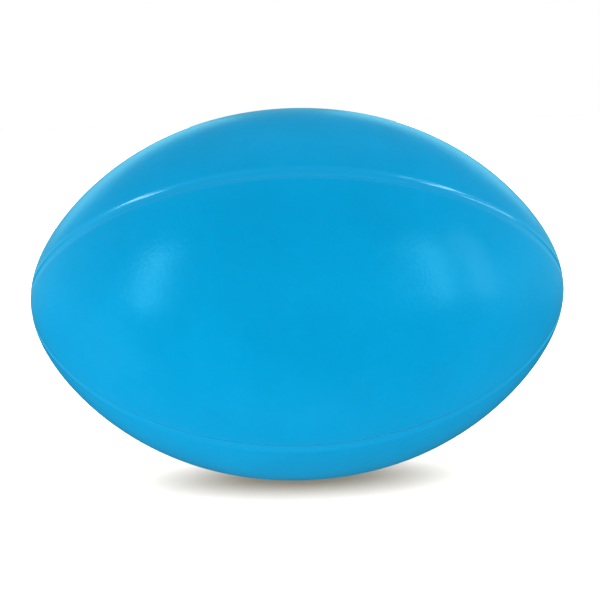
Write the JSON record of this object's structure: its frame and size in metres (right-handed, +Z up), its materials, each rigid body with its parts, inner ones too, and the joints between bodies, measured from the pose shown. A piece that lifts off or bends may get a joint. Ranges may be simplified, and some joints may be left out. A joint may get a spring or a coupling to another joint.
{
  "type": "rugby ball",
  "caption": "Oval rugby ball lying on its side: glossy bonded panels with shallow channels between them, over a lining, an inflated bladder and a needle valve.",
  "frame": {"origin": "centre of the ball, halfway between its tips and on its long axis", "axes": "+X along the long axis from tip to tip, -Y towards the front panel, +Z up, with the ball lying on the middle of its bottom panel"},
  "size_m": [0.2808, 0.196, 0.196],
  "materials": {
    "cover_skin": "glossy bright blue, very fine grain",
    "seam_rubber": "satin bright blue",
    "foam_backing": "closed-cell foam, off-white",
    "woven_lining": "plain-woven cotton and polyester, unbleached",
    "bladder_rubber": "matt black butyl",
    "valve_rubber": "satin black rubber"
  },
  "bodies": {
    "root": {"cover_panel_top": "cover_skin", "cover_panel_front": "cover_skin", "cover_panel_bottom": "cover_skin", "cover_panel_back": "cover_skin", "seam_strip_front_top": "seam_rubber", "seam_strip_front_bottom": "seam_rubber", "seam_strip_back_bottom": "seam_rubber", "seam_strip_back_top": "seam_rubber", "foam_pad_top": "foam_backing", "foam_pad_front": "foam_backing", "foam_pad_bottom": "foam_backing", "foam_pad_back": "foam_backing", "lining_outer_top": "woven_lining", "lining_outer_front": "woven_lining", "lining_outer_bottom": "woven_lining", "lining_outer_back": "woven_lining", "lining_inner_top": "woven_lining", "lining_inner_front": "woven_lining", "lining_inner_bottom": "woven_lining", "lining_inner_back": "woven_lining", "bladder": "bladder_rubber", "valve_patch": "bladder_rubber", "valve_seat": "valve_rubber", "valve_core": "valve_rubber"}
  },
  "joints": []
}
